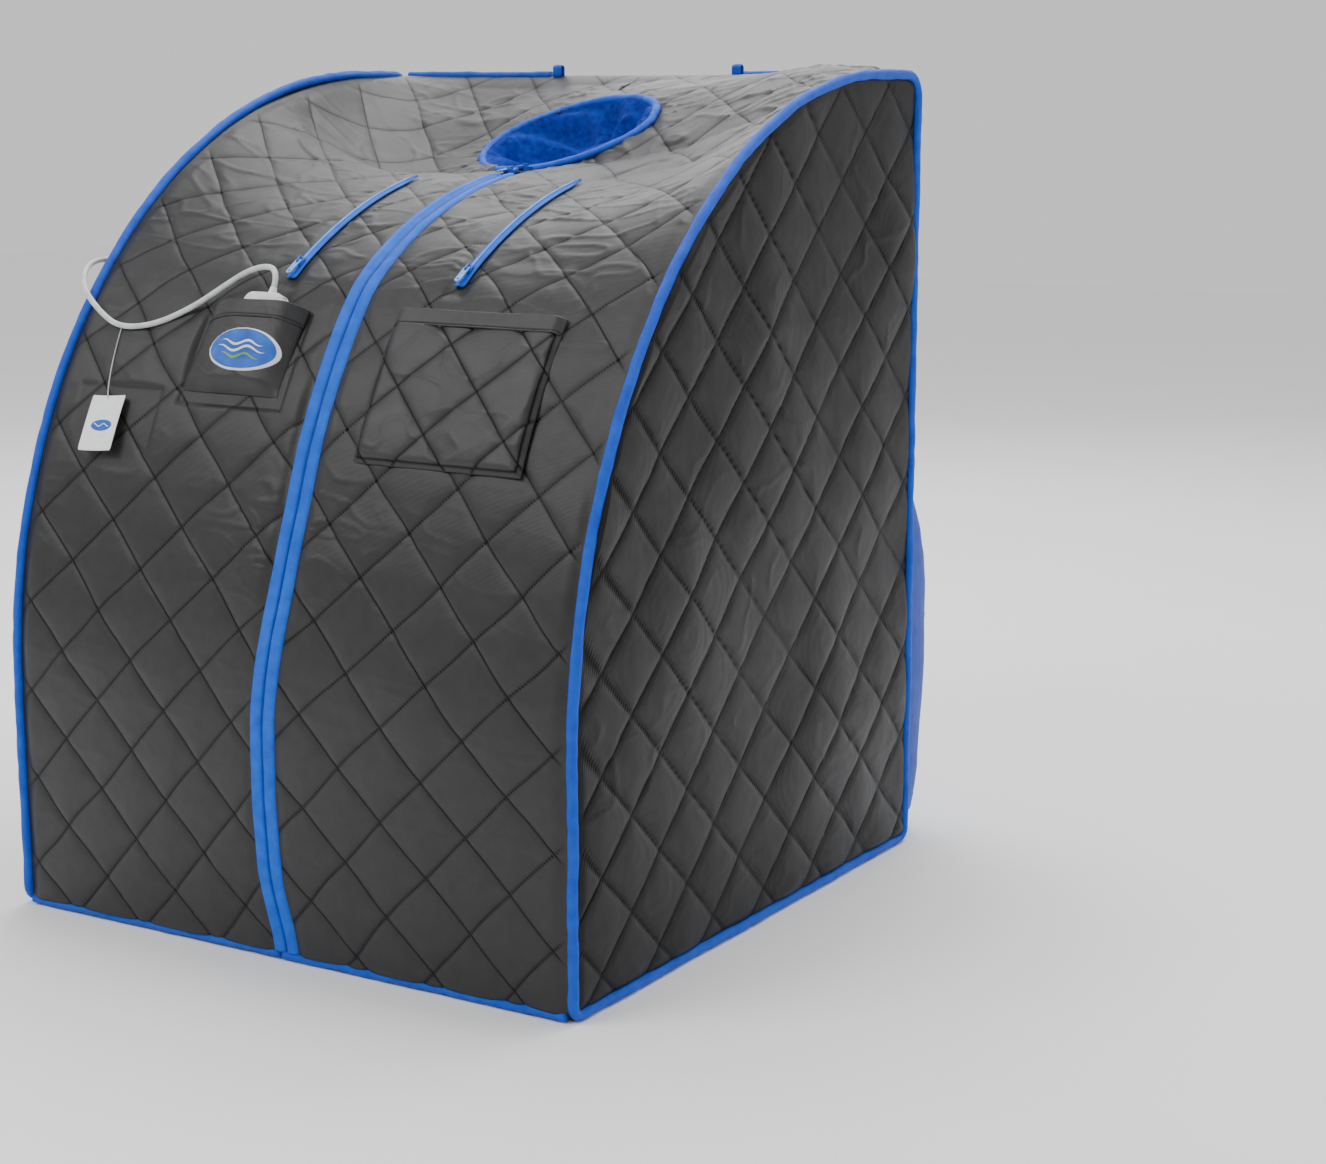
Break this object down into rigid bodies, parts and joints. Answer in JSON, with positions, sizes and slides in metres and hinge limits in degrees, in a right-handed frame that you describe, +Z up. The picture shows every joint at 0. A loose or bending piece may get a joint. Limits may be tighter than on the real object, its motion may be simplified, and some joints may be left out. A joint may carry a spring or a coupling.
{
  "type": "portable sauna tent",
  "caption": "Quilted fabric sauna cabin on spring hoops with a neck opening, front and arm zippers, pockets, hand controller and heater panels.",
  "frame": {"origin": "on the floor, under the middle of the cabin", "axes": "+Z up, -Y is the front with the zipper, +X to the right when facing the front"},
  "size_m": [0.8173, 0.8635, 0.974],
  "materials": {
    "quilted_fabric": "satin quilted polyester",
    "plain_fabric": "satin polyester",
    "blue_trim": "woven binding over piping",
    "zip_tape": "woven zipper tape",
    "zip_coil": "nylon coil",
    "zip_metal": "painted zinc",
    "pull_plastic": "moulded",
    "collar_fleece": "brushed fleece",
    "patch": "printed oval with a pale border",
    "tag_card": "coated card",
    "tag_thread": "cotton thread",
    "spring_steel": "spring wire and tube",
    "black_plastic": "moulded",
    "white_plastic": "moulded",
    "display_glass": "smoked window",
    "cord_jacket": "flexible jacket",
    "heater_film": "laminated carbon film"
  },
  "bodies": {
    "cabin": {"back_heater": "heater_film", "back_panel": "quilted_fabric", "controller_cord": "cord_jacket", "controller_pocket": "plain_fabric", "controller_pocket_hem": "plain_fabric", "cord_outlet": "white_plastic", "cross_poles": "spring_steel", "floor_mat": "plain_fabric", "foot_heater": "heater_film", "hanging_loops": "blue_trim", "heater_pockets": "plain_fabric", "junction_box": "black_plastic", "left_arm_zip": "zip_tape", "left_edge_piping": "blue_trim", "left_front_panel": "quilted_fabric", "left_heater": "heater_film", "left_side_panel": "quilted_fabric", "main_zip_chain": "zip_coil", "main_zip_tapes": "zip_tape", "neck_collar": "collar_fleece", "neck_rim": "blue_trim", "oval_patch": "patch", "pole_end_caps": "black_plastic", "pole_sleeves": "plain_fabric", "power_inlet": "black_plastic", "rear_piping": "blue_trim", "rear_pouch": "blue_trim", "right_arm_zip": "zip_tape", "right_edge_piping": "blue_trim", "right_front_panel": "quilted_fabric", "right_heater": "heater_film", "right_side_panel": "quilted_fabric", "side_hoops": "spring_steel", "storage_pocket": "plain_fabric", "storage_pocket_hem": "plain_fabric", "top_panel": "quilted_fabric", "wiring_harness": "cord_jacket"},
    "left_flap": {"left_door_flap": "quilted_fabric", "left_flap_hem": "plain_fabric", "left_flap_tape": "zip_tape"},
    "left_arm_slider": {"left_arm_slider": "zip_metal"},
    "left_arm_pull": {"left_arm_pull": "pull_plastic"},
    "right_flap": {"right_door_flap": "quilted_fabric", "right_flap_hem": "plain_fabric", "right_flap_tape": "zip_tape"},
    "right_arm_slider": {"right_arm_slider": "zip_metal"},
    "right_arm_pull": {"right_arm_pull": "pull_plastic"},
    "lower_main_slider": {"lower_main_slider": "zip_metal"},
    "lower_main_pull": {"lower_main_pull": "zip_metal"},
    "upper_main_slider": {"upper_main_slider": "zip_metal"},
    "upper_main_pull": {"upper_main_pull": "zip_metal"},
    "controller": {"controller_back_shell": "white_plastic", "controller_front_shell": "white_plastic", "controller_display": "display_glass", "controller_strain_relief": "white_plastic"},
    "power_button": {"power_button": "white_plastic"},
    "temperature_button": {"temperature_button": "white_plastic"},
    "timer_button": {"timer_button": "white_plastic"},
    "tag": {"hang_tag": "tag_card", "tag_string": "tag_thread"}
  },
  "joints": [
    {"name": "left_flap_hinge", "type": "hinge", "parent": "cabin", "child": "left_flap", "pos_m": [-0.3751, -0.3795, 0.14], "axis": [0, 0, 1], "range_deg": [-60, 0]},
    {"name": "right_flap_hinge", "type": "hinge", "parent": "cabin", "child": "right_flap", "pos_m": [0.3751, -0.3795, 0.14], "axis": [0, 0, 1], "range_deg": [0, 60]},
    {"name": "lower_slider_travel", "type": "hinge", "parent": "cabin", "child": "lower_main_slider", "pos_m": [0, 0.136, 0.2585], "axis": [1, 0, 0], "range_deg": [0, 27]},
    {"name": "upper_slider_travel", "type": "hinge", "parent": "cabin", "child": "upper_main_slider", "pos_m": [0, 0.136, 0.2585], "axis": [1, 0, 0], "range_deg": [0, 27]},
    {"name": "left_arm_slider_travel", "type": "hinge", "parent": "cabin", "child": "left_arm_slider", "pos_m": [-0.106, 0.136, 0.2585], "axis": [1, 0, 0], "range_deg": [-22, 0]},
    {"name": "right_arm_slider_travel", "type": "hinge", "parent": "cabin", "child": "right_arm_slider", "pos_m": [0.128, 0.136, 0.2585], "axis": [1, 0, 0], "range_deg": [-22, 0]},
    {"name": "lower_main_pull_swing", "type": "hinge", "parent": "lower_main_slider", "child": "lower_main_pull", "pos_m": [0, 0.07382, 0.85014], "axis": [1, 0, 0], "range_deg": [-150, 0]},
    {"name": "upper_main_pull_swing", "type": "hinge", "parent": "upper_main_slider", "child": "upper_main_pull", "pos_m": [0, 0.1059, 0.85264], "axis": [1, 0, 0], "range_deg": [-150, 0]},
    {"name": "left_arm_pull_swing", "type": "hinge", "parent": "left_arm_slider", "child": "left_arm_pull", "pos_m": [-0.106, -0.19321, 0.75401], "axis": [1, 0, 0], "range_deg": [-150, 0]},
    {"name": "right_arm_pull_swing", "type": "hinge", "parent": "right_arm_slider", "child": "right_arm_pull", "pos_m": [0.128, -0.19321, 0.75401], "axis": [1, 0, 0], "range_deg": [-150, 0]},
    {"name": "controller_lift", "type": "slide", "parent": "cabin", "child": "controller", "axis": [0, 0.4285, 0.9035], "range_m": [0, 0.07], "deforming": ["controller_cord"]},
    {"name": "power_button_press", "type": "slide", "parent": "controller", "child": "power_button", "axis": [0, 0.9035, -0.4285], "range_m": [0, 0.001], "stiffness_N_per_m": 300},
    {"name": "temperature_button_press", "type": "slide", "parent": "controller", "child": "temperature_button", "axis": [0, 0.9035, -0.4285], "range_m": [0, 0.001], "stiffness_N_per_m": 300},
    {"name": "timer_button_press", "type": "slide", "parent": "controller", "child": "timer_button", "axis": [0, 0.9035, -0.4285], "range_m": [0, 0.001], "stiffness_N_per_m": 300},
    {"name": "tag_swing", "type": "hinge", "parent": "cabin", "child": "tag", "pos_m": [-0.3105, -0.26819, 0.66844], "axis": [0, -0.8616, 0.5075], "range_deg": [-20, 30]}
  ],
  "couplings": [
    {"joint": "upper_slider_travel", "follows": "lower_slider_travel", "ratio": 1}
  ]
}
